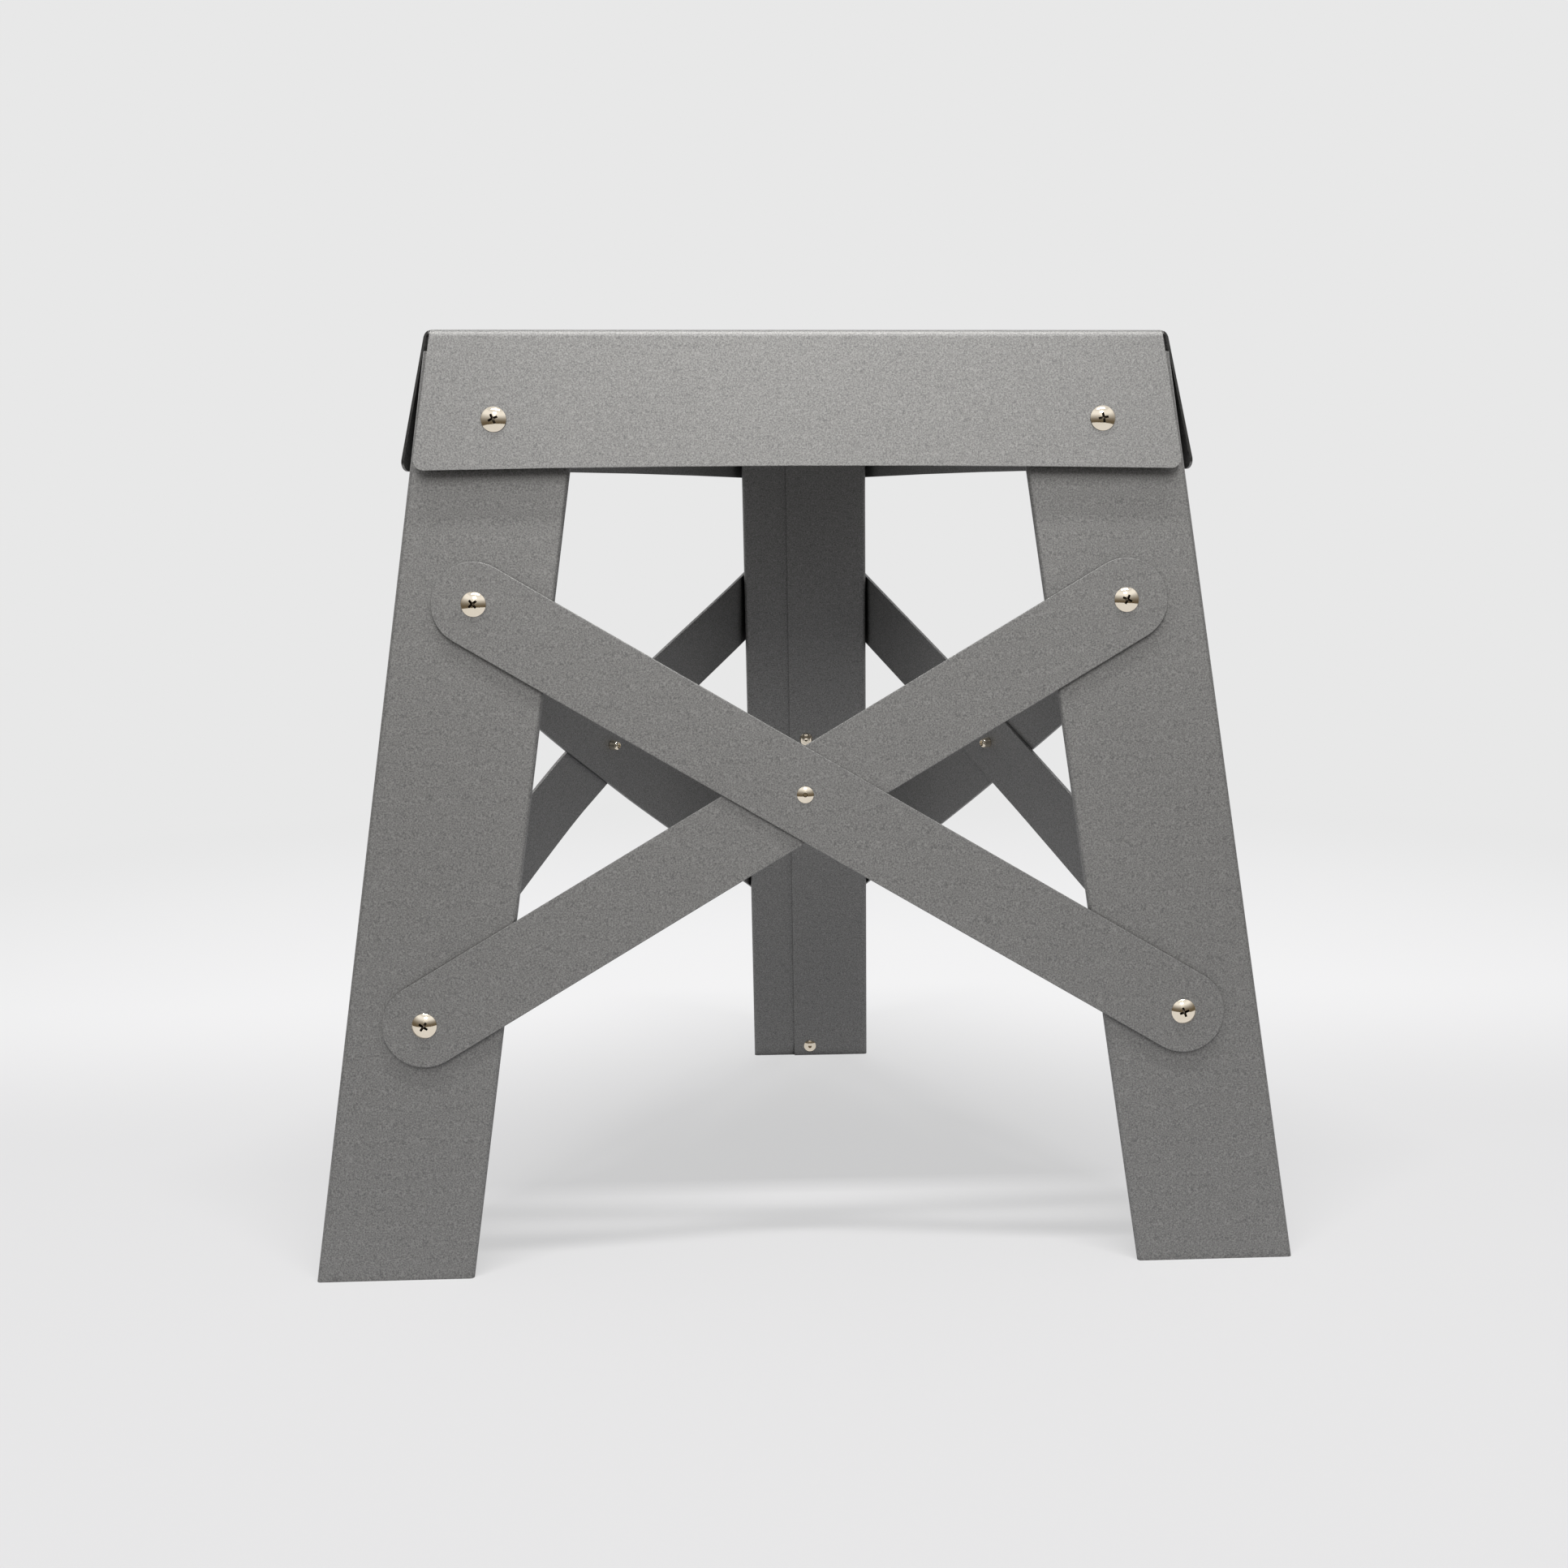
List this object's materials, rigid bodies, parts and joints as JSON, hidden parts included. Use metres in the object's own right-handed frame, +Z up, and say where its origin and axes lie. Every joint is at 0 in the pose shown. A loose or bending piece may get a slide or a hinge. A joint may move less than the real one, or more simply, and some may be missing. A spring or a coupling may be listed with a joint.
{
  "type": "step stool",
  "caption": "Low sheet-metal stool with a folded triangular top, leaning folded tube legs and crossed flat braces, to sit or stand on.",
  "frame": {"origin": "on the floor, at the middle of the object's bounding box seen from above", "axes": "+Z up, the front side with its crossed braces faces -Y, +X to the right of someone who looks at the front"},
  "size_m": [0.4734, 0.4104, 0.45],
  "materials": {
    "powder_coat": "matte grey fine-speckled powder coat on steel sheet",
    "nickel_plate": "bright nickel plating",
    "zinc_plate": "dull zinc plating"
  },
  "bodies": {
    "root": {"front_brace_rivet": "nickel_plate", "front_flange_nut_left": "zinc_plate", "front_flange_nut_right": "zinc_plate", "front_flange_screw_left": "nickel_plate", "front_flange_screw_right": "nickel_plate", "front_inner_brace": "powder_coat", "front_lower_nut_left": "zinc_plate", "front_lower_nut_right": "zinc_plate", "front_lower_screw_left": "nickel_plate", "front_lower_screw_right": "nickel_plate", "front_outer_brace": "powder_coat", "front_upper_nut_left": "zinc_plate", "front_upper_nut_right": "zinc_plate", "front_upper_screw_left": "nickel_plate", "front_upper_screw_right": "nickel_plate", "left_brace_rivet": "nickel_plate", "left_flange_nut_left": "zinc_plate", "left_flange_nut_right": "zinc_plate", "left_flange_screw_left": "nickel_plate", "left_flange_screw_right": "nickel_plate", "left_inner_brace": "powder_coat", "left_leg": "powder_coat", "left_leg_high_rivet": "nickel_plate", "left_leg_low_rivet": "nickel_plate", "left_leg_middle_rivet": "nickel_plate", "left_lower_nut_left": "zinc_plate", "left_lower_nut_right": "zinc_plate", "left_lower_screw_left": "nickel_plate", "left_lower_screw_right": "nickel_plate", "left_outer_brace": "powder_coat", "left_upper_nut_left": "zinc_plate", "left_upper_nut_right": "zinc_plate", "left_upper_screw_left": "nickel_plate", "left_upper_screw_right": "nickel_plate", "rear_leg": "powder_coat", "rear_leg_high_rivet": "nickel_plate", "rear_leg_low_rivet": "nickel_plate", "rear_leg_middle_rivet": "nickel_plate", "right_brace_rivet": "nickel_plate", "right_flange_nut_left": "zinc_plate", "right_flange_nut_right": "zinc_plate", "right_flange_screw_left": "nickel_plate", "right_flange_screw_right": "nickel_plate", "right_inner_brace": "powder_coat", "right_leg": "powder_coat", "right_leg_high_rivet": "nickel_plate", "right_leg_low_rivet": "nickel_plate", "right_leg_middle_rivet": "nickel_plate", "right_lower_nut_left": "zinc_plate", "right_lower_nut_right": "zinc_plate", "right_lower_screw_left": "nickel_plate", "right_lower_screw_right": "nickel_plate", "right_outer_brace": "powder_coat", "right_upper_nut_left": "zinc_plate", "right_upper_nut_right": "zinc_plate", "right_upper_screw_left": "nickel_plate", "right_upper_screw_right": "nickel_plate", "top_panel": "powder_coat"}
  },
  "joints": []
}
